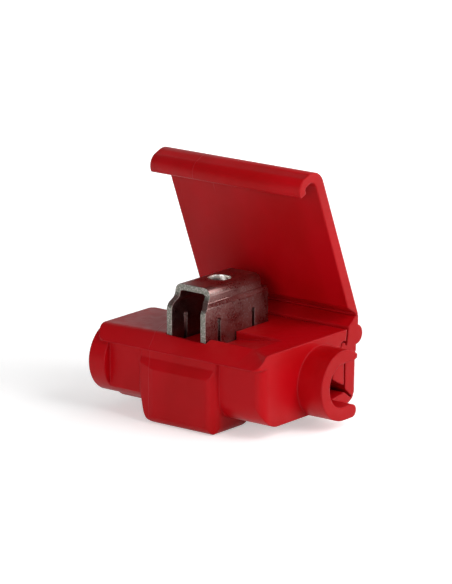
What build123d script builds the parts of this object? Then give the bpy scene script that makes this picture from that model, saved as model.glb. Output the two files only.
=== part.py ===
"""Tap connector that joins a branch wire to a running wire through one pressed blade.

Millimetres. The working datum is the deck: X runs along both wires from the mouth of
the tap port, Y runs from the front lip towards the hinge, Z is up from the deck.
Every solid is then moved so that the origin lies on the tap axis where its bore begins.
"""

import os
from math import radians, tan

from build123d import *

# moulded body
BODY_LENGTH = 22.0      # port mouth to right wall
BODY_LEFT = 2.2         # left face of the full-depth block and of the cover
DECK_DEPTH = 13.5       # lip edge to the slit in front of the hinge strap
WALL_SETBACK = 0.95     # front wall in front of the lip edge
TOE_RADIUS = 2.6        # front bottom edge
CORNER_RADIUS = 1.1     # front right upright edge
FLOOR_EDGE_RADIUS = 0.45

# catch lip along the front of the deck
LIP_REACH = 1.85
LIP_DROP = 1.4
LIP_NOSE = 0.12
LIP_LEFT_TRIM = 2.0
LIP_CORNER_RADIUS = 0.8
LIP_END_FRONT = 0.4     # how far in front of the lip edge the deck's right corner reaches
LIP_END_LENGTH = 3.1    # stretch in which the crest turns forward to that corner
CREST_LEFT = -0.1       # where the slope leaves the deck at the port mouth
CREST_RIGHT = 1.9       # and at the right wall
CREST_RADIUS = 1.5

# tap port, closed at its far end
TAP_Y = 2.95
TAP_Z = -3.9
TAP_RADIUS = 1.9
TAP_DEPTH = 17.0
TAP_LEAD_IN = 0.35
PORT_RADIUS = 3.75
PORT_FRONT = 2.35
PORT_REAR = 8.2
PORT_HEEL_RADIUS = 1.2
PORT_BACK_RADIUS = 0.7
FLAT_CLEARANCE = 0.08   # between the port's round end and the closed cover
FLAT_SETBACK = 1.4

# running-wire channel, its collar and its entry from below
RUN_Y = 8.7
RUN_Z = -4.5
RUN_RADIUS = 2.35
COLLAR_LENGTH = 3.15
COLLAR_WALL = 1.4
COLLAR_ARM_REACH = 2.35
COLLAR_TIP_FLAT = 2.45
COLLAR_TOE_REACH = 1.3
FLOOR_THICKNESS = 1.0
FLOOR_REACH = 1.3
TONGUE_SETBACK = 0.55
TONGUE_RISE = 1.1
TONGUE_DROP = 0.35
TONGUE_LAP = 0.1
TONGUE_EDGE_RADIUS = 0.15

# blade pocket below the front wall
POCKET_LEFT = 6.4
POCKET_RIGHT = 16.4
POCKET_FACE = 1.95
POCKET_CHEEK = 1.9      # width of the oblique face at the left
POCKET_CHEEK_DEPTH = 0.22
POCKET_STRIP = 0.08     # how far the strip above the pocket stands in front of the flat
POCKET_TAPER = 0.75     # how far the left side leans in at the bottom
POCKET_BOTTOM = 9.25
POCKET_REAR = 3.7
POCKET_SHOULDER = 2.3
POCKET_SCOOP = 1.05
POCKET_UPRIGHT_RADIUS = 1.2
POCKET_LEFT_RADIUS = 1.7
POCKET_TOE_RADIUS = 0.9
POCKET_REAR_RADIUS = 0.8

# hinge strap, bead and relief slit
SLIT = 0.3
SLIT_DEPTH = 1.7
SLIT_LEAN = 0.3
RELIEF_RADIUS = 0.48
RELIEF_WIDTH = 0.2
STRAP_THICKNESS = 1.6
STRAP_WAIST = 0.35      # how far the strap narrows below the bead
STRAP_FOOT = 2.6
BEAD_RADIUS = 1.05
BEAD_REACH = 0.75
BEAD_Z = -0.85
ROOT_Z = -3.4
HINGE_Z = 1.3
FILM_RADIUS = 0.2
FILM_CLEARANCE = 0.04
STRAP_BEVEL = 38.0

# cover, drawn closed and then opened
COVER_OPEN = 68.2
COVER_THICKNESS = 1.3
COVER_BEVEL = 36.0
GROOVE_CLEARANCE = 0.4
HOOK_CLEARANCE = 0.1
HOOK_CATCH = 0.25       # how far the hook reaches under the lip
HOOK_THICKNESS = 1.0
HOOK_END_WALL = 0.95
HOOK_OUTER_RADIUS = 1.9
HOOK_TOE_RADIUS = 1.3
HOOK_NOSE_RADIUS = 0.2
GROOVE_FLOOR_RADIUS = 0.35
GROOVE_ROOF_RADIUS = 0.9

# side gate behind the running wire
GATE_THICKNESS = 1.65
GATE_GAP = 0.25
GATE_SEAT = 0.05
GATE_END_GAP = 0.3
GATE_BOTTOM = 7.62
GATE_HEEL_STEP = 0.4
BARB_REACH = 2.25
BARB_DROP = 8.13
BARB_TIP_DROP = 2.52    # top of the barb's tip below the running-wire axis
BARB_TIP = 0.15
BARB_ROOT_DROP = 2.24
BARB_HEEL = 0.9
BARB_GROOVE = 0.28
GATE_WEB = 0.3
GATE_SHOULDER_DROP = 1.85

# blade contact, an upturned channel folded from sheet
SHEET = 0.7
CONTACT_LEFT = 8.12
CONTACT_WIDTH = 5.18
CONTACT_FRONT = 0.65
CONTACT_LENGTH = 10.62
CONTACT_RAISED = 5.3
CONTACT_HEIGHT = 7.2
CONTACT_TRAVEL = 5.2
WEB_INSET = 0.27
WEB_FRONT_STEP = 1.1
WEB_REAR_STEP = 0.95
SWEEP_HEIGHT = 1.3      # height of the S-shaped blend from leg to web
SWEEP_RADIUS = 0.9
WEB_RADIUS = 0.85
JOGGLE_DROP = 1.5
JOGGLE_RISE = 0.5
BLADE_SLOT = 0.45
SLOT_EYE_RADIUS = 0.3
SLOT_TOP = 2.0
SLOT_MOUTH = 1.5
SLOT_MOUTH_DEPTH = 1.0
WEB_HOLE_RADIUS = 1.2
WEB_HOLE_Y = 6.25
LEG_CLEARANCE = 0.08
LEG_CHAMFER = 1.0
WELL_FLOOR = 0.25
CORE_CLEARANCE = 0.12

# ramped recess beside the contact
RAMP_END = 19.4
RAMP_FRONT = 1.5
RAMP_REAR = 5.7
RAMP_DEPTH = 0.9

# joined sizes
BODY_HEIGHT = RUN_RADIUS - RUN_Z + FLOOR_THICKNESS
FLAT_LEFT = BODY_LEFT - FLAT_CLEARANCE
TONGUE_REAR = DECK_DEPTH - TONGUE_SETBACK
TONGUE_HIGH = TONGUE_DROP - RUN_Z
TONGUE_LOW = TONGUE_HIGH + TONGUE_RISE
STRAP_FRONT = DECK_DEPTH + SLIT
STRAP_REAR = STRAP_FRONT + STRAP_THICKNESS
HINGE_Y = STRAP_REAR - FILM_RADIUS
GATE_FRONT = TONGUE_REAR + GATE_GAP
GATE_REAR = GATE_FRONT + GATE_THICKNESS
GATE_HINGE_Y = GATE_REAR - FILM_RADIUS
COLLAR_RADIUS = RUN_RADIUS + COLLAR_WALL
COVER_INNER = COVER_THICKNESS - FILM_RADIUS
CONTACT_REAR = CONTACT_FRONT + CONTACT_LENGTH
CONTACT_RIGHT = CONTACT_LEFT + CONTACT_WIDTH
CONTACT_MID = (CONTACT_LEFT + CONTACT_RIGHT) / 2
CONTACT_BOTTOM = CONTACT_RAISED - CONTACT_HEIGHT
PRESSED_TOP = CONTACT_RAISED - CONTACT_TRAVEL
PRESSED_BOTTOM = CONTACT_BOTTOM - CONTACT_TRAVEL


def rounded_face(plane, corners):
    """Closed outline of (a, b, radius) corners on a plane, with the rounded ones filleted."""
    outline = Polyline(*[(a, b) for a, b, _ in corners], close=True)
    face = make_face(outline)
    for a, b, radius in corners:
        if radius:
            face = fillet(face.vertices().sort_by_distance((a, b))[0], radius)
    return plane * face


def along_x(corners, start, end):
    """Prism along the wires from an outline in Y and Z."""
    return extrude(rounded_face(Plane.YZ.offset(start), corners), amount=end - start)


def rod_x(y, z, radius, start, end):
    """Cylinder along the wires."""
    return extrude(Plane.YZ.offset(start) * Pos(y, z) * Circle(radius), amount=end - start)


def upright(corners, bottom, top):
    """Prism along Z from an outline in X and Y."""
    return extrude(rounded_face(Plane.XY.offset(bottom), corners), amount=top - bottom)


def make_block():
    """Main block with its front wall, rounded toe and rear root for strap and gate."""
    wall = [
        (-WALL_SETBACK, 0, 0),
        (-WALL_SETBACK, -BODY_HEIGHT, TOE_RADIUS),
        (RUN_Y + FLOOR_REACH, -BODY_HEIGHT, FLOOR_EDGE_RADIUS),
        (RUN_Y + FLOOR_REACH, RUN_Z - RUN_RADIUS, FLOOR_EDGE_RADIUS),
        (RUN_Y, RUN_Z - RUN_RADIUS, 0),
        (RUN_Y, -TONGUE_HIGH, 0),
        (RUN_Y + RUN_RADIUS - TONGUE_LAP, -TONGUE_HIGH, 0),
        (TONGUE_REAR, -TONGUE_LOW, TONGUE_EDGE_RADIUS),
        (TONGUE_REAR, ROOT_Z, 0),
        (GATE_REAR, ROOT_Z, 0),
        (STRAP_REAR - STRAP_WAIST, ROOT_Z + STRAP_THICKNESS, STRAP_WAIST),
        (STRAP_REAR - STRAP_WAIST, 0, 0),
    ]
    plan = [
        (BODY_LEFT, -WALL_SETBACK, 0),
        (BODY_LENGTH, -WALL_SETBACK, CORNER_RADIUS),
        (BODY_LENGTH, GATE_REAR + STRAP_THICKNESS, 0),
        (BODY_LEFT, GATE_REAR + STRAP_THICKNESS, 0),
    ]
    return along_x(wall, BODY_LEFT, BODY_LENGTH) & upright(plan, -BODY_HEIGHT - 1, 1)


def make_port():
    """Tap port: a round end level with the deck, then flattened under the lip."""
    middle = -PORT_FRONT + PORT_RADIUS
    bottom = -2 * PORT_RADIUS
    far = POCKET_LEFT + POCKET_CHEEK
    outline = [
        (middle, 0, 0),
        (PORT_REAR, 0, 0),
        (PORT_REAR, bottom, PORT_HEEL_RADIUS),
        (middle, bottom, 0),
    ]
    port = along_x(outline, 0, far)
    heel = port.edges().filter_by(Axis.Z).sort_by_distance((0, PORT_REAR, -1))[0]
    port = fillet(heel, PORT_BACK_RADIUS)
    port += rod_x(middle, -PORT_RADIUS, PORT_RADIUS, 0, far)
    flat = [
        (-PORT_FRONT - 1, 1, 0),
        (-PORT_FRONT - 1, bottom, 0),
        (-FLAT_SETBACK, bottom, 0),
        (-FLAT_SETBACK, 1, 0),
    ]
    return port - along_x(flat, FLAT_LEFT, far + 1)


def make_lip():
    """Blank of the catch lip, trimmed round at both ends; its slope is cut afterwards."""
    root = CREST_RIGHT + 1
    plan = make_face(
        Polyline((LIP_LEFT_TRIM, -LIP_REACH), (BODY_LENGTH, -LIP_REACH), (BODY_LENGTH, root), (0, root), (0, 0))
        + ThreePointArc((0, 0), (0.3 * LIP_LEFT_TRIM, -0.72 * LIP_REACH), (LIP_LEFT_TRIM, -LIP_REACH))
    )
    plan = fillet(plan.vertices().sort_by_distance((BODY_LENGTH, -LIP_REACH))[0], LIP_CORNER_RADIUS)
    return extrude(Plane.XY.offset(-LIP_DROP) * plan, amount=LIP_DROP)


def make_slope():
    """Everything above the lip's slope, whose crest runs back and then turns to the right corner."""
    lean = (CREST_RIGHT - CREST_LEFT) / BODY_LENGTH
    turn_x = BODY_LENGTH - LIP_END_LENGTH
    turn_y = CREST_LEFT + lean * turn_x
    turn_lean = (turn_y + LIP_END_FRONT) / LIP_END_LENGTH
    stations = (
        (-1, CREST_LEFT - lean),
        (turn_x, turn_y),
        (BODY_LENGTH + 1, -LIP_END_FRONT - turn_lean),
    )
    tip_z = LIP_NOSE - LIP_DROP
    sections = []
    for x, crest in stations:
        section = [
            (crest + 1, 1, 0),
            (crest + 1, 0, 0),
            (crest, 0, CREST_RADIUS),
            (-LIP_REACH, tip_z, 0),
            (-LIP_REACH - 1, tip_z, 0),
            (-LIP_REACH - 1, 1, 0),
        ]
        sections.append(rounded_face(Plane.YZ.offset(x), section))
    return loft(sections, ruled=True)


def make_pocket():
    """Pocket that houses the front of the pressed blades, with a scooped shoulder."""
    knee = (POCKET_SHOULDER + POCKET_BOTTOM) / 2
    front = [
        (POCKET_LEFT, -LIP_DROP, 0),
        (POCKET_LEFT, -knee, POCKET_LEFT_RADIUS),
        (POCKET_LEFT + POCKET_TAPER, -POCKET_BOTTOM, POCKET_LEFT_RADIUS),
        (POCKET_RIGHT, -POCKET_BOTTOM, POCKET_REAR_RADIUS),
        (POCKET_RIGHT, -LIP_DROP, 0),
    ]
    shape = extrude(rounded_face(Plane.XZ.offset(POCKET_FACE), front), amount=-POCKET_FACE - POCKET_REAR)
    plan = [
        (POCKET_LEFT, POCKET_CHEEK_DEPTH - POCKET_FACE, 0),
        (POCKET_LEFT + POCKET_CHEEK, -POCKET_FACE, POCKET_REAR_RADIUS),
        (POCKET_RIGHT, -POCKET_FACE, POCKET_UPRIGHT_RADIUS),
        (POCKET_RIGHT, POCKET_REAR, 0),
        (POCKET_LEFT, POCKET_REAR, 0),
    ]
    shape &= upright(plan, -POCKET_BOTTOM - 1, 0)
    side = [
        (-FLAT_SETBACK - POCKET_STRIP, -LIP_DROP, 0),
        (-FLAT_SETBACK - POCKET_STRIP, -POCKET_SHOULDER, 0),
        (-POCKET_FACE, -POCKET_SHOULDER - POCKET_SCOOP, 0),
        (-POCKET_FACE, -POCKET_BOTTOM, POCKET_TOE_RADIUS),
        (POCKET_REAR, -POCKET_BOTTOM, POCKET_REAR_RADIUS),
        (POCKET_REAR, -LIP_DROP, 0),
    ]
    return shape & along_x(side, POCKET_LEFT, POCKET_RIGHT)


def make_strap():
    """Hinge strap behind the slit, with its bead and the bevel that the cover closes on."""
    rise = HINGE_Y - STRAP_FRONT
    section = [
        (STRAP_FRONT, -STRAP_FOOT, 0),
        (STRAP_REAR - STRAP_WAIST, -STRAP_FOOT, 0),
        (STRAP_REAR - STRAP_WAIST, BEAD_Z, 0),
        (STRAP_REAR, BEAD_Z, 0),
        (STRAP_REAR, HINGE_Z, 0),
        (HINGE_Y, HINGE_Z, 0),
        (STRAP_FRONT, HINGE_Z - rise * tan(radians(STRAP_BEVEL)), 0),
    ]
    bead_y = STRAP_REAR + BEAD_REACH - BEAD_RADIUS
    return along_x(section, BODY_LEFT, BODY_LENGTH) + rod_x(bead_y, BEAD_Z, BEAD_RADIUS, BODY_LEFT, BODY_LENGTH)


def make_film_seats():
    """Rounded seats in the strap for the cover's film and the gate's film."""
    seat = FILM_RADIUS + FILM_CLEARANCE
    cover_seat = rod_x(HINGE_Y, HINGE_Z, seat, BODY_LEFT - 1, BODY_LENGTH + 1)
    return cover_seat + rod_x(GATE_HINGE_Y, ROOT_Z, seat, BODY_LEFT - 1, BODY_LENGTH + 1)


def make_slit():
    """Slit between deck and strap, turning up and forward at its foot as a relief."""
    straight = along_x(
        [
            (DECK_DEPTH, 3, 0),
            (DECK_DEPTH, 0, 0),
            (DECK_DEPTH - SLIT_LEAN, -SLIT_DEPTH, 0),
            (STRAP_FRONT - SLIT_LEAN, -SLIT_DEPTH, 0),
            (STRAP_FRONT, 0, 0),
            (STRAP_FRONT, 3, 0),
        ],
        BODY_LEFT - 1,
        BODY_LENGTH + 1,
    )
    outer = RELIEF_RADIUS + RELIEF_WIDTH / 2
    middle = STRAP_FRONT - SLIT_LEAN - outer
    ring = Circle(outer) - Circle(RELIEF_RADIUS - RELIEF_WIDTH / 2)
    half = ring & (Pos(0, outer) * Rectangle(2 * outer, 2 * outer))
    foot = extrude(Plane.YZ.offset(BODY_LEFT - 1) * Pos(middle, -SLIT_DEPTH) * half, amount=BODY_LENGTH + 2)
    return straight + foot


def make_collar():
    """Open collar that carries the running wire out of the right wall."""
    ring = Circle(COLLAR_RADIUS)
    mouth = make_face(
        Polyline(
            (0, COLLAR_TIP_FLAT - 0.1),
            (COLLAR_ARM_REACH - 0.5, COLLAR_TIP_FLAT - 0.1),
            (COLLAR_ARM_REACH, COLLAR_TIP_FLAT + 0.1),
            (COLLAR_ARM_REACH, COLLAR_RADIUS + 1),
            (COLLAR_RADIUS + 1, COLLAR_RADIUS + 1),
            (COLLAR_RADIUS + 1, -COLLAR_RADIUS - 1),
            (0, -COLLAR_RADIUS - 1),
            close=True,
        )
    )
    half_wall = COLLAR_WALL / 2
    toe = Pos(COLLAR_TOE_REACH / 2, -RUN_RADIUS - half_wall) * SlotOverall(
        COLLAR_TOE_REACH + COLLAR_WALL + 0.4, COLLAR_WALL
    )
    section = (ring - mouth + toe) - Circle(RUN_RADIUS)
    return extrude(Plane.YZ.offset(BODY_LENGTH - 0.5) * Pos(RUN_Y, RUN_Z) * section, amount=COLLAR_LENGTH + 0.5)


def make_well():
    """Well for the contact: two leg slots either side of a core that stays below the deck."""
    front = CONTACT_FRONT - LEG_CLEARANCE
    rear = CONTACT_REAR + LEG_CLEARANCE
    left = CONTACT_LEFT - LEG_CLEARANCE
    right = CONTACT_RIGHT + LEG_CLEARANCE
    deep = PRESSED_BOTTOM - WELL_FLOOR
    wide_core = CONTACT_WIDTH / 2 - SHEET - LEG_CLEARANCE
    slim_core = wide_core - WEB_INSET
    shoulder = PRESSED_TOP - JOGGLE_DROP - JOGGLE_RISE - CORE_CLEARANCE
    core_top = PRESSED_TOP - SHEET - CORE_CLEARANCE
    section = [
        (left, 1, 0),
        (left, deep, 0),
        (CONTACT_MID - wide_core, deep, 0),
        (CONTACT_MID - wide_core, shoulder, 0),
        (CONTACT_MID - slim_core, shoulder + WEB_INSET, 0),
        (CONTACT_MID - slim_core, core_top, 0),
        (CONTACT_MID + slim_core, core_top, 0),
        (CONTACT_MID + slim_core, shoulder + WEB_INSET, 0),
        (CONTACT_MID + wide_core, shoulder, 0),
        (CONTACT_MID + wide_core, deep, 0),
        (right, deep, 0),
        (right, 1, 0),
    ]
    return extrude(rounded_face(Plane.XZ.offset(-front), section), amount=front - rear)


def make_ramp():
    """Shallow recess that ramps up to the deck beside the contact."""
    start = CONTACT_RIGHT + LEG_CLEARANCE / 2
    section = [(start, 0.2, 0), (start, -RAMP_DEPTH, 0), (RAMP_END, 0, 0), (RAMP_END, 0.2, 0)]
    return extrude(rounded_face(Plane.XZ.offset(-RAMP_FRONT), section), amount=RAMP_FRONT - RAMP_REAR)


def make_housing():
    """Body with port, lip, pocket, hinge strap and collar, then its bores and slots."""
    body = make_block() + make_port() + make_lip() + make_pocket()
    body -= make_slope()
    body += make_strap()
    body -= rod_x(RUN_Y, RUN_Z, RUN_RADIUS, -1, BODY_LENGTH + 1)
    body += make_collar()
    body -= rod_x(TAP_Y, TAP_Z, TAP_RADIUS, -1, TAP_DEPTH)
    mouth = Plane.YZ * Pos(TAP_Y, TAP_Z) * Circle(TAP_RADIUS + TAP_LEAD_IN)
    body -= extrude(mouth, amount=TAP_LEAD_IN, taper=45)
    body -= make_slit()
    body -= make_film_seats()
    body -= make_well()
    body -= make_ramp()
    return body


def make_gate():
    """Flexible wire gate with an inward barb above a diagonal groove."""
    tip = RUN_Y + BARB_REACH
    heel = GATE_REAR - GATE_HEEL_STEP
    web_z = GATE_WEB / 4 - GATE_BOTTOM
    section = [
        (GATE_REAR, ROOT_Z - GATE_SEAT, 0),
        (GATE_REAR - 0.1, 0.6 - GATE_BOTTOM, 0.3),
        (heel, -GATE_BOTTOM, 0.2),
        (heel - BARB_HEEL, -BARB_DROP, 0.3),
        (tip, RUN_Z - BARB_TIP_DROP - BARB_TIP, 0),
        (tip, RUN_Z - BARB_TIP_DROP, 0),
        (GATE_FRONT - 0.1, RUN_Z - BARB_ROOT_DROP, 0),
        (heel - GATE_WEB, web_z, 0),
        (heel - GATE_WEB / 2, web_z + BARB_GROOVE * 0.7, 0),
        (GATE_FRONT, RUN_Z - GATE_SHOULDER_DROP, 0.1),
        (GATE_FRONT, ROOT_Z - GATE_SEAT, 0),
    ]
    left = BODY_LEFT + GATE_END_GAP
    return along_x(section, left, BODY_LENGTH) + rod_x(GATE_HINGE_Y, ROOT_Z, FILM_RADIUS, left, BODY_LENGTH)


def make_cover():
    """Cover plate with its hook, drawn closed from the hinge film and opened."""
    groove_end = HINGE_Y + LIP_REACH + GROOVE_CLEARANCE
    hook_inner = HINGE_Z + LIP_DROP + HOOK_CLEARANCE
    hook_outer = hook_inner + HOOK_THICKNESS
    hook_tip = HINGE_Y + LIP_REACH - HOOK_CATCH
    outline = [
        (0, -FILM_RADIUS, 0),
        (groove_end + HOOK_END_WALL, -FILM_RADIUS, HOOK_OUTER_RADIUS),
        (groove_end + HOOK_END_WALL, hook_outer, HOOK_TOE_RADIUS),
        (hook_tip, hook_outer, HOOK_NOSE_RADIUS),
        (hook_tip, hook_inner, HOOK_NOSE_RADIUS),
        (groove_end, hook_inner, GROOVE_FLOOR_RADIUS),
        (groove_end, COVER_INNER, GROOVE_ROOF_RADIUS),
        (COVER_INNER / tan(radians(COVER_BEVEL)), COVER_INNER, 0),
        (0, 0, 0),
    ]
    closed = [(HINGE_Y - u, HINGE_Z - v, radius) for u, v, radius in outline]
    cover = along_x(closed, BODY_LEFT, BODY_LENGTH) + rod_x(HINGE_Y, HINGE_Z, FILM_RADIUS, BODY_LEFT, BODY_LENGTH)
    hinge = Axis((0, HINGE_Y, HINGE_Z), (1, 0, 0))
    return cover.rotate(hinge, -COVER_OPEN)


def folded_section(side):
    """Half of the folded sheet's outline, outer face first, on one side of the middle."""
    outer = CONTACT_WIDTH / 2
    top = CONTACT_RAISED
    fold = top - JOGGLE_DROP
    return [
        (CONTACT_MID + side * outer, CONTACT_BOTTOM, 0),
        (CONTACT_MID + side * outer, fold - JOGGLE_RISE, 0.3),
        (CONTACT_MID + side * (outer - WEB_INSET), fold, 0.3),
        (CONTACT_MID + side * (outer - WEB_INSET), top, WEB_RADIUS),
    ], [
        (CONTACT_MID + side * (outer - WEB_INSET - SHEET), top - SHEET, WEB_RADIUS - SHEET + 0.15),
        (CONTACT_MID + side * (outer - WEB_INSET - SHEET), fold, 0.3),
        (CONTACT_MID + side * (outer - SHEET), fold - JOGGLE_RISE, 0.3),
        (CONTACT_MID + side * (outer - SHEET), CONTACT_BOTTOM, 0),
    ]


def make_contact():
    """Tinned blade contact: folded channel with two wire slots through both walls."""
    left_outer, left_inner = folded_section(-1)
    right_outer, right_inner = folded_section(1)
    outline = left_outer + right_outer[::-1] + right_inner[::-1] + left_inner
    sheet = rounded_face(Plane.XZ.offset(-CONTACT_FRONT), outline)
    contact = extrude(sheet, amount=-CONTACT_LENGTH)
    crease = CONTACT_RAISED - JOGGLE_DROP - JOGGLE_RISE / 2
    above = CONTACT_RAISED + 1
    web_front = CONTACT_FRONT + WEB_FRONT_STEP
    sweep = [
        (CONTACT_FRONT - 1, above, 0),
        (CONTACT_FRONT - 1, crease - SWEEP_HEIGHT, 0),
        (CONTACT_FRONT, crease - SWEEP_HEIGHT, 0),
        (CONTACT_FRONT, crease - SWEEP_HEIGHT / 2, SWEEP_RADIUS),
        (web_front, crease + SWEEP_HEIGHT / 2, SWEEP_RADIUS),
        (web_front, above, 0),
    ]
    contact -= along_x(sweep, CONTACT_LEFT - 1, CONTACT_RIGHT + 1)
    rear_step = [
        (CONTACT_REAR - WEB_REAR_STEP, above, 0),
        (CONTACT_REAR - WEB_REAR_STEP, crease + WEB_INSET, 0.2),
        (CONTACT_REAR + 1, crease + WEB_INSET, 0),
        (CONTACT_REAR + 1, above, 0),
    ]
    contact -= along_x(rear_step, CONTACT_LEFT - 1, CONTACT_RIGHT + 1)
    for leg_end, inward in ((CONTACT_FRONT, 1), (CONTACT_REAR, -1)):
        corner = [
            (leg_end, CONTACT_BOTTOM, 0),
            (leg_end + inward * LEG_CHAMFER, CONTACT_BOTTOM, 0),
            (leg_end, CONTACT_BOTTOM + LEG_CHAMFER, 0),
        ]
        contact -= along_x(corner, CONTACT_LEFT - 1, CONTACT_RIGHT + 1)
    for wire_y in (TAP_Y, RUN_Y):
        half = BLADE_SLOT / 2
        mouth = SLOT_MOUTH / 2
        slot = [
            (wire_y - mouth, CONTACT_BOTTOM - 0.1, 0),
            (wire_y - half, CONTACT_BOTTOM + SLOT_MOUTH_DEPTH, 0.3),
            (wire_y - half, SLOT_TOP - SLOT_EYE_RADIUS, 0),
            (wire_y + half, SLOT_TOP - SLOT_EYE_RADIUS, 0),
            (wire_y + half, CONTACT_BOTTOM + SLOT_MOUTH_DEPTH, 0.3),
            (wire_y + mouth, CONTACT_BOTTOM - 0.1, 0),
        ]
        contact -= along_x(slot, CONTACT_LEFT - 1, CONTACT_RIGHT + 1)
        contact -= rod_x(wire_y, SLOT_TOP - SLOT_EYE_RADIUS, SLOT_EYE_RADIUS, CONTACT_LEFT - 1, CONTACT_RIGHT + 1)
    hole = Pos(CONTACT_MID, WEB_HOLE_Y, CONTACT_RAISED) * Cylinder(WEB_HOLE_RADIUS, 3 * SHEET)
    return contact - hole


def main():
    os.makedirs("parts", exist_ok=True)
    origin = Pos(-TAP_LEAD_IN, -TAP_Y, -TAP_Z)
    nodes = {
        "housing": make_housing(),
        "cover": make_cover(),
        "wire_gate": make_gate(),
        "contact": make_contact(),
    }
    for name, solid in nodes.items():
        export_step(origin * solid, f"parts/{name}.step")


main()
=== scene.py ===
import math

import bpy
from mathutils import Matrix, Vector


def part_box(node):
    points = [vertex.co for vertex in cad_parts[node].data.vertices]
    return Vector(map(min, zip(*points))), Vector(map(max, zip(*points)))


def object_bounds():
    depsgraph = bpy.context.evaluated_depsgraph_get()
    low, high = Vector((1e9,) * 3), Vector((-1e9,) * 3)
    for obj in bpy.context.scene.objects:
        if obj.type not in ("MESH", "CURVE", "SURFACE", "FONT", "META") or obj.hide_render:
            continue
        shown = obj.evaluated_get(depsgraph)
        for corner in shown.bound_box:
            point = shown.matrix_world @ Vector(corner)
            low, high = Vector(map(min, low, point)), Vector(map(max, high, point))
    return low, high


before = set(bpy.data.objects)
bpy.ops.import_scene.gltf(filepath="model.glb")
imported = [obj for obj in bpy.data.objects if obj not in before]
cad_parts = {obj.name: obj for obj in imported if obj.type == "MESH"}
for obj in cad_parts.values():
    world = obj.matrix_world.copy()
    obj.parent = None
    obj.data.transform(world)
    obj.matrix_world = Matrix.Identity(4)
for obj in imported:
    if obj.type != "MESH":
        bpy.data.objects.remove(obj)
CAD_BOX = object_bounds()
MM = 0.001

# camera: a long lens from the right and slightly above, the image taken as 452 by 584
IMAGE_LONG_SIDE = 584
SENSOR_MM = 36.0
FOCAL_PX = 4575.6
DISTANCE = 0.480
AZIMUTH = 38.333
ELEVATION = 14.436
AIM = Vector((10.65, 3.55, 2.9)) * MM      # near the middle of the connector
AIM_RIGHT = 0.2965 * MM                    # framing, along the image's own axes
AIM_UP = 4.5604 * MM
NEAR_CLIP = 0.01
FAR_CLIP = 20

# rounds modelled on the edges of the cover and of the contact
MOULDED_EDGE = 0.06 * MM
SHEARED_EDGE = 0.05 * MM
MOULDED_ANGLE = math.radians(28)
SHEARED_ANGLE = math.radians(60)
EDGE_SEGMENTS = 2
FLAT_ANGLE = math.radians(0.4)
WELD_DISTANCE = 1e-6

# rounds that only turn the shading, and mark the edges, which are painted paler as a highlight
# and as wear
MOULDED_ROUND = 0.25 * MM
SHEARED_ROUND = 0.14 * MM
ROUND_SAMPLES = 6

# red plastic, linear colours
RED_DEEP = (0.37, 0.0006, 0.0022)
RED_PLAIN = (0.435, 0.0012, 0.0048)
# paler red for the edges: a painted highlight and wear; the witness line takes this colour too
RED_SHEEN_AND_WEAR = (0.51, 0.013, 0.023)
RED_SPECULAR = 0.13
RED_ROUGHNESS = (0.36, 0.44)
RUBBED_ROUGHER = 0.12
RED_EDGE_TURN = (0.03, 0.25)      # how far the shading turns away where an edge starts and is full
RED_SHEEN_AND_WEAR_SHARE = (0.35, 0.9)

# broad flow of the melt, finer mottle and grain; scales are in cycles per metre
FLOW_SCALE = 170
FLOW_DETAIL = 3
FLOW_STRETCH = (1, 0.6, 0.6)
FLOW_RANGE = (0.35, 0.65)
FLOW_HEIGHT = 0.02 * MM
MOTTLE_SCALE = 900
MOTTLE_DETAIL = 2
MOTTLE_RANGE = (0.3, 0.7)
GRAIN_SCALE = 9000
GRAIN_DETAIL = 1
GRAIN_HEIGHT = 0.004 * MM

# thin witness line that the mould's slide leaves across the lip, pocket and hook
WITNESS_X = 7.6 * MM
WITNESS_WIDTH = 0.09 * MM
WITNESS_LEAN = 0.42             # how far it leans left per length back from the lip's nose
WITNESS_FADE = 1 * MM
WITNESS_SHARE = 0.35
WITNESS_HEIGHT = 0.02 * MM
HOUSING_MARGIN = 2 * MM         # the line runs over the whole housing, from below its foot
HOOK_HEIGHT = 4.6 * MM          # and over the top of the open cover, where the hook is

# tin plate over brass sheet, linear colours; the plate's rosy tint is partly brass and partly a
# painted reflection of the red housing
TIN_DULL = (0.225, 0.112, 0.104)
TIN_PLAIN = (0.315, 0.19, 0.178)
TIN_SPECK = (0.44, 0.41, 0.38)
TIN_SHEARED = (0.18, 0.178, 0.152)
# painted glint on the wall of the hole in the web
TIN_HOLE_GLINT = (0.86, 0.83, 0.78)
TIN_ROUGHNESS = (0.26, 0.42)
TIN_ROUGHNESS_RANGE = (0.7, 1.3)
SHEARED_ROUGHER = 0.15
# paler specked colour along the contact's edges: a painted highlight and wear
TIN_EDGE_TURN = (0.03, 0.3)
TIN_SHEEN_AND_WEAR_SHARE = 0.35

# clouding of the plate, specks, drawing lines and grain; scales are in cycles per metre
CLOUD_SCALE = 420
CLOUD_DETAIL = 3
CLOUD_RANGE = (0.3, 0.7)
SPECK_SCALE = 5200
SPECK_DETAIL = 3
SPECK_RANGE = (0.5, 0.76)
SPECK_HEIGHT = 0.007 * MM
SPECKED_CLOUD = (0.3, 0.65)     # specks are thickest where the plate is clouded
SPECKED_SHARE = (0.3, 0.8)
DRAWN_SCALE = 3200
DRAWN_DETAIL = 2
DRAWN_STRETCH = (1, 0.2, 1)
DRAWN_HEIGHT = 0.012 * MM
SHEET_GRAIN_SCALE = 14000
SHEET_GRAIN_DETAIL = 2
SHEET_GRAIN_HEIGHT = 0.004 * MM

# sheared rims at the contact's two ends, and the wall of the hole in its web, painted with a
# bright glint
SHEARED_ENDS = 1.6 * MM
SHEARED_FADE = 0.2 * MM
SHEARED_FACING = (0.7, 0.95)
SHEARED_GRIT = (0.45, 0.7)
WEB_HOLE = Vector((10.36, 3.30, 0)) * MM
WEB_HOLE_RADIUS = 1.2 * MM
WEB_HOLE_FADE = (1.05 * WEB_HOLE_RADIUS, 1.01 * WEB_HOLE_RADIUS)

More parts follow.
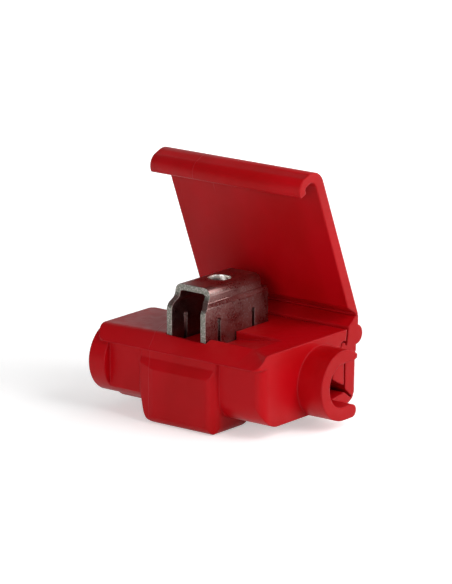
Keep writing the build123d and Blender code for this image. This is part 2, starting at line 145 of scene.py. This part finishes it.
# studio: a dim white room, one lamp at the right, one low in front and a weak one behind
ROOM_LEVEL = 0.20
BACKDROP_EDGE = (0.5, 0.95)     # how squarely a reflection must look behind the object
LAMP_DISTANCE = 0.45
LAMP_SIZE = 0.30
LAMPS = (                       # azimuth and elevation in degrees, power in watts
    ("key", 95, 35, 1.66),
    ("fill", 10, 10, 0.92),
    ("rear", 160, 30, 0.66),
)

# pale floor, with what it adds where it is seen, near the object and far from it
FLOOR_HALF = 2.0
FLOOR_COLOUR = (0.9, 0.9, 0.9, 1)
FLOOR_ROUGHNESS = 0.7
FLOOR_SPECULAR = 0.2
FLOOR_GLOW = (0.45, 1.0)
GLOW_REACH = (0.03, 0.20)
WHITE = (1, 1, 1, 1)


def towards(azimuth, elevation):
    """Direction from the object to where those degrees point, from the front and the floor."""
    around = math.radians(azimuth)
    above = math.radians(elevation)
    return Vector(
        (
            math.sin(around) * math.cos(above),
            -math.cos(around) * math.cos(above),
            math.sin(above),
        )
    )


def add_camera():
    data = bpy.data.cameras.new("camera")
    data.sensor_width = SENSOR_MM
    data.lens = FOCAL_PX / IMAGE_LONG_SIDE * SENSOR_MM
    data.clip_start = NEAR_CLIP
    data.clip_end = FAR_CLIP
    camera = bpy.data.objects.new("camera", data)
    bpy.context.collection.objects.link(camera)
    back = towards(AZIMUTH, ELEVATION)
    right = Vector((math.cos(math.radians(AZIMUTH)), math.sin(math.radians(AZIMUTH)), 0))
    up = back.cross(right)
    camera.location = AIM + right * AIM_RIGHT + up * AIM_UP + back * DISTANCE
    camera.rotation_mode = "QUATERNION"
    camera.rotation_quaternion = (-back).to_track_quat("-Z", "Y")
    bpy.context.scene.camera = camera


def add_lamp(name, azimuth, elevation, power):
    back = towards(azimuth, elevation)
    data = bpy.data.lights.new(name, "AREA")
    data.size = LAMP_SIZE
    data.energy = power
    lamp = bpy.data.objects.new(name, data)
    lamp.location = AIM + back * LAMP_DISTANCE
    lamp.rotation_euler = (-back).to_track_quat("-Z", "Y").to_euler()
    bpy.context.collection.objects.link(lamp)


class Graph:
    """Short helpers that add nodes to the tree of a material or of the world."""

    def __init__(self, tree):
        self.tree = tree
        self.place = self.add("ShaderNodeTexCoord").outputs

    def add(self, kind, **settings):
        node = self.tree.nodes.new(kind)
        for key, value in settings.items():
            setattr(node, key, value)
        return node

    def link(self, source, target):
        self.tree.links.new(source, target)

    def noise(self, scale, detail, stretch=(1, 1, 1)):
        """Noise in the piece's own metres, with scale in cycles per metre."""
        mapping = self.add("ShaderNodeMapping")
        mapping.inputs["Scale"].default_value = stretch
        self.link(self.place["Object"], mapping.inputs["Vector"])
        node = self.add("ShaderNodeTexNoise")
        node.inputs["Scale"].default_value = scale
        node.inputs["Detail"].default_value = detail
        self.link(mapping.outputs["Vector"], node.inputs["Vector"])
        return node.outputs["Fac"]

    def span(self, value, source, target=(0.0, 1.0), shape="SMOOTHSTEP"):
        """Step of value from the source range to the target range."""
        node = self.add("ShaderNodeMapRange", interpolation_type=shape)
        self.link(value, node.inputs["Value"])
        ends = zip(("From Min", "From Max", "To Min", "To Max"), (*source, *target))
        for name, number in ends:
            node.inputs[name].default_value = number
        return node.outputs["Result"]

    def maths(self, operation, *values):
        node = self.add("ShaderNodeMath", operation=operation)
        for socket, value in zip(node.inputs, values):
            if isinstance(value, (int, float)):
                socket.default_value = value
            else:
                self.link(value, socket)
        return node.outputs["Value"]

    def vectors(self, operation, first, second):
        node = self.add("ShaderNodeVectorMath", operation=operation)
        self.link(first, node.inputs[0])
        if isinstance(second, Vector):
            node.inputs[1].default_value = second
        else:
            self.link(second, node.inputs[1])
        return node.outputs

    def blend(self, share, first, second):
        """Colour from first to second by share."""
        node = self.add("ShaderNodeMix", data_type="RGBA")
        self.link(share, node.inputs["Factor"])
        for socket, colour in ((node.inputs["A"], first), (node.inputs["B"], second)):
            if isinstance(colour, tuple):
                socket.default_value = (*colour, 1)
            else:
                self.link(colour, socket)
        return node.outputs["Result"]

    def rounded(self, radius):
        """Normal that turns smoothly over each edge."""
        node = self.add("ShaderNodeBevel", samples=ROUND_SAMPLES)
        node.inputs["Radius"].default_value = radius
        return node.outputs["Normal"]

    def edges(self, rounded, turn):
        """1 along edges, 0 on flats, from how far the rounded normal leaves the true one."""
        geometry = self.add("ShaderNodeNewGeometry")
        likeness = self.vectors("DOT_PRODUCT", rounded, geometry.outputs["Normal"])["Value"]
        return self.span(likeness, (1 - turn[0], 1 - turn[1]))

    def bump(self, height, distance, after=None):
        node = self.add("ShaderNodeBump")
        node.inputs["Distance"].default_value = distance
        self.link(height, node.inputs["Height"])
        if after is not None:
            self.link(after, node.inputs["Normal"])
        return node.outputs["Normal"]

    def separate(self, vector):
        node = self.add("ShaderNodeSeparateXYZ")
        self.link(vector, node.inputs["Vector"])
        return node.outputs

    def rays(self):
        """1 for what is seen directly or through something, and 1 for what is reflected."""
        path = self.add("ShaderNodeLightPath").outputs
        direct = self.maths("MAXIMUM", path["Is Camera Ray"], path["Is Transmission Ray"])
        return direct, path["Is Glossy Ray"]


def new_material(name):
    """Material, its graph and its shader's inputs."""
    material = bpy.data.materials.new(name)
    material.use_nodes = True
    shader = material.node_tree.nodes["Principled BSDF"]
    return material, Graph(material.node_tree), shader.inputs


def witness_line(graph, above, lean):
    """1 on the witness line where it stands higher than above."""
    at = graph.separate(graph.place["Object"])
    leaned = graph.maths("MULTIPLY", graph.maths("SUBTRACT", at["Y"], CAD_BOX[0].y), lean)
    off = graph.maths("SUBTRACT", graph.maths("ADD", at["X"], leaned), WITNESS_X)
    near = graph.span(graph.maths("ABSOLUTE", off), (WITNESS_WIDTH, 0.0))
    return graph.maths("MULTIPLY", near, graph.span(at["Z"], (above, above + WITNESS_FADE)))


def red_plastic(name, witness_above, lean=0.0):
    """Red moulding, with the witness line where it stands higher than witness_above.

    The line leans left by lean times the way back from the lip's nose.
    """
    material, graph, surface = new_material(name)
    flow = graph.noise(FLOW_SCALE, FLOW_DETAIL, FLOW_STRETCH)
    mottle = graph.noise(MOTTLE_SCALE, MOTTLE_DETAIL)
    grain = graph.noise(GRAIN_SCALE, GRAIN_DETAIL)
    rounded = graph.rounded(MOULDED_ROUND)
    edge_sheen_and_wear = graph.edges(rounded, RED_EDGE_TURN)
    witness = witness_line(graph, witness_above, lean)

    colour = graph.blend(graph.span(flow, FLOW_RANGE), RED_DEEP, RED_PLAIN)
    # paler red along the edges: a painted highlight, and wear
    sheen_and_wear = graph.maths("MULTIPLY", edge_sheen_and_wear, graph.span(mottle, MOTTLE_RANGE, RED_SHEEN_AND_WEAR_SHARE))
    colour = graph.blend(sheen_and_wear, colour, RED_SHEEN_AND_WEAR)
    colour = graph.blend(graph.maths("MULTIPLY", witness, WITNESS_SHARE), colour, RED_SHEEN_AND_WEAR)
    graph.link(colour, surface["Base Color"])

    polish = graph.span(mottle, MOTTLE_RANGE, RED_ROUGHNESS)
    rougher = graph.maths("MULTIPLY", edge_sheen_and_wear, RUBBED_ROUGHER)
    graph.link(graph.maths("ADD", polish, rougher), surface["Roughness"])
    surface["Specular IOR Level"].default_value = RED_SPECULAR

    normal = graph.bump(flow, FLOW_HEIGHT, rounded)
    normal = graph.bump(grain, GRAIN_HEIGHT, normal)
    normal = graph.bump(witness, WITNESS_HEIGHT, normal)
    graph.link(normal, surface["Normal"])
    return material


def sheared_rims(graph):
    """1 on the cut faces at the contact's two ends."""
    low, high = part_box("contact")
    middle = (high.y + low.y) / 2
    inner = (high.y - low.y) / 2 - SHEARED_ENDS
    along = graph.maths("SUBTRACT", graph.separate(graph.place["Object"])["Y"], middle)
    at_end = graph.span(graph.maths("ABSOLUTE", along), (inner, inner + SHEARED_FADE))
    facing = graph.separate(graph.place["Normal"])["Y"]
    across = graph.span(graph.maths("ABSOLUTE", facing), SHEARED_FACING)
    return graph.maths("MULTIPLY", across, at_end)


def hole_wall_glint(graph):
    """1 on the wall of the hole in the contact's web, where a bright glint is painted."""
    offset = graph.vectors("SUBTRACT", graph.place["Object"], WEB_HOLE)["Vector"]
    flat = graph.separate(offset)
    squares = [graph.maths("MULTIPLY", flat[axis], flat[axis]) for axis in ("X", "Y")]
    radius = graph.maths("SQRT", graph.maths("ADD", *squares))
    return graph.span(radius, WEB_HOLE_FADE)


def tin_plate(name):
    """Dull, finely grained tin plate, greyer on its sheared rims, with a painted bright glint on
    the wall of the punched hole.
    """
    material, graph, surface = new_material(name)
    cloud = graph.noise(CLOUD_SCALE, CLOUD_DETAIL)
    speck = graph.noise(SPECK_SCALE, SPECK_DETAIL)
    drawn = graph.noise(DRAWN_SCALE, DRAWN_DETAIL, DRAWN_STRETCH)
    grain = graph.noise(SHEET_GRAIN_SCALE, SHEET_GRAIN_DETAIL)
    sheared = sheared_rims(graph)

    # rosy plate colour: partly brass, partly a painted reflection of the red housing
    colour = graph.blend(graph.span(cloud, CLOUD_RANGE), TIN_DULL, TIN_PLAIN)
    thickness = graph.span(cloud, SPECKED_CLOUD, SPECKED_SHARE)
    specks = graph.maths("MULTIPLY", graph.span(speck, SPECK_RANGE), thickness)
    colour = graph.blend(specks, colour, TIN_SPECK)
    cut = graph.blend(graph.span(speck, SHEARED_GRIT), TIN_SHEARED, TIN_SPECK)
    colour = graph.blend(sheared, colour, cut)
    # paler along the edges: a painted highlight, and wear
    sheen_and_wear = graph.edges(graph.rounded(SHEARED_ROUND), TIN_EDGE_TURN)
    colour = graph.blend(graph.maths("MULTIPLY", sheen_and_wear, TIN_SHEEN_AND_WEAR_SHARE), colour, TIN_SPECK)
    # a painted glint on the wall of the hole in the web
    colour = graph.blend(hole_wall_glint(graph), colour, TIN_HOLE_GLINT)
    graph.link(colour, surface["Base Color"])
    surface["Metallic"].default_value = 1.0

    tarnish = graph.maths("ADD", cloud, speck)
    polish = graph.span(tarnish, TIN_ROUGHNESS_RANGE, TIN_ROUGHNESS)
    rougher = graph.maths("MULTIPLY", sheared, SHEARED_ROUGHER)
    graph.link(graph.maths("ADD", polish, rougher), surface["Roughness"])

    normal = graph.bump(drawn, DRAWN_HEIGHT)
    normal = graph.bump(speck, SPECK_HEIGHT, normal)
    normal = graph.bump(grain, SHEET_GRAIN_HEIGHT, normal)
    graph.link(normal, surface["Normal"])
    return material


def soften(piece, width, least_angle):
    """Small rounds on the piece's edges that turn by more than least_angle."""
    weld = piece.modifiers.new("weld", "WELD")
    weld.merge_threshold = WELD_DISTANCE
    flat = piece.modifiers.new("flat_faces", "DECIMATE")
    flat.decimate_type = "DISSOLVE"
    flat.angle_limit = FLAT_ANGLE
    rounds = piece.modifiers.new("rounds", "BEVEL")
    rounds.width = width
    rounds.segments = EDGE_SEGMENTS
    rounds.limit_method = "ANGLE"
    rounds.angle_limit = least_angle
    rounds.use_clamp_overlap = False
    rounds.harden_normals = True


def dress(node, material):
    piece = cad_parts[node]
    piece.data.materials.clear()
    piece.data.materials.append(material)
    return piece


def add_floor(low):
    """Pale floor that keeps the object's shadow and turns white away from it."""
    mesh = bpy.data.meshes.new("floor")
    ends = ((-1, -1), (1, -1), (1, 1), (-1, 1))
    corners = [(x * FLOOR_HALF, y * FLOOR_HALF, low) for x, y in ends]
    mesh.from_pydata(corners, [], [(0, 1, 2, 3)])
    floor = bpy.data.objects.new("floor", mesh)
    bpy.context.collection.objects.link(floor)
    material, graph, surface = new_material("floor_white")
    surface["Base Color"].default_value = FLOOR_COLOUR
    surface["Roughness"].default_value = FLOOR_ROUGHNESS
    surface["Specular IOR Level"].default_value = FLOOR_SPECULAR
    surface["Emission Color"].default_value = WHITE
    seen = graph.maths("MAXIMUM", *graph.rays())
    away = graph.add("ShaderNodeVectorMath", operation="LENGTH")
    graph.link(graph.place["Object"], away.inputs[0])
    glow = graph.span(away.outputs["Value"], GLOW_REACH, FLOOR_GLOW)
    graph.link(graph.maths("MULTIPLY", seen, glow), surface["Emission Strength"])
    mesh.materials.append(material)


def add_world():
    """White where it is seen, white in reflections of the side behind the object, else dim."""
    world = bpy.data.worlds.new("world")
    bpy.context.scene.world = world
    world.use_nodes = True
    graph = Graph(world.node_tree)
    behind = -towards(AZIMUTH, ELEVATION)
    squarely = graph.vectors("DOT_PRODUCT", graph.place["Generated"], behind)["Value"]
    backdrop = graph.span(squarely, BACKDROP_EDGE, shape="LINEAR")
    direct, reflected = graph.rays()
    bright = graph.maths("MAXIMUM", direct, graph.maths("MULTIPLY", reflected, backdrop))
    background = world.node_tree.nodes["Background"].inputs
    background["Color"].default_value = WHITE
    level = graph.span(bright, (0.0, 1.0), (ROOM_LEVEL, 1.0), "LINEAR")
    graph.link(level, background["Strength"])


body_plastic = red_plastic("red_plastic", CAD_BOX[0].z - HOUSING_MARGIN, WITNESS_LEAN)
dress("housing", body_plastic)
dress("wire_gate", body_plastic)
cover_plastic = red_plastic("red_plastic_cover", CAD_BOX[1].z - HOOK_HEIGHT)
soften(dress("cover", cover_plastic), MOULDED_EDGE, MOULDED_ANGLE)
soften(dress("contact", tin_plate("tinned_brass")), SHEARED_EDGE, SHEARED_ANGLE)

add_floor(CAD_BOX[0].z)
add_world()
for name, azimuth, elevation, power in LAMPS:
    add_lamp(name, azimuth, elevation, power)

bpy.context.scene.view_settings.view_transform = "Standard"
add_camera()
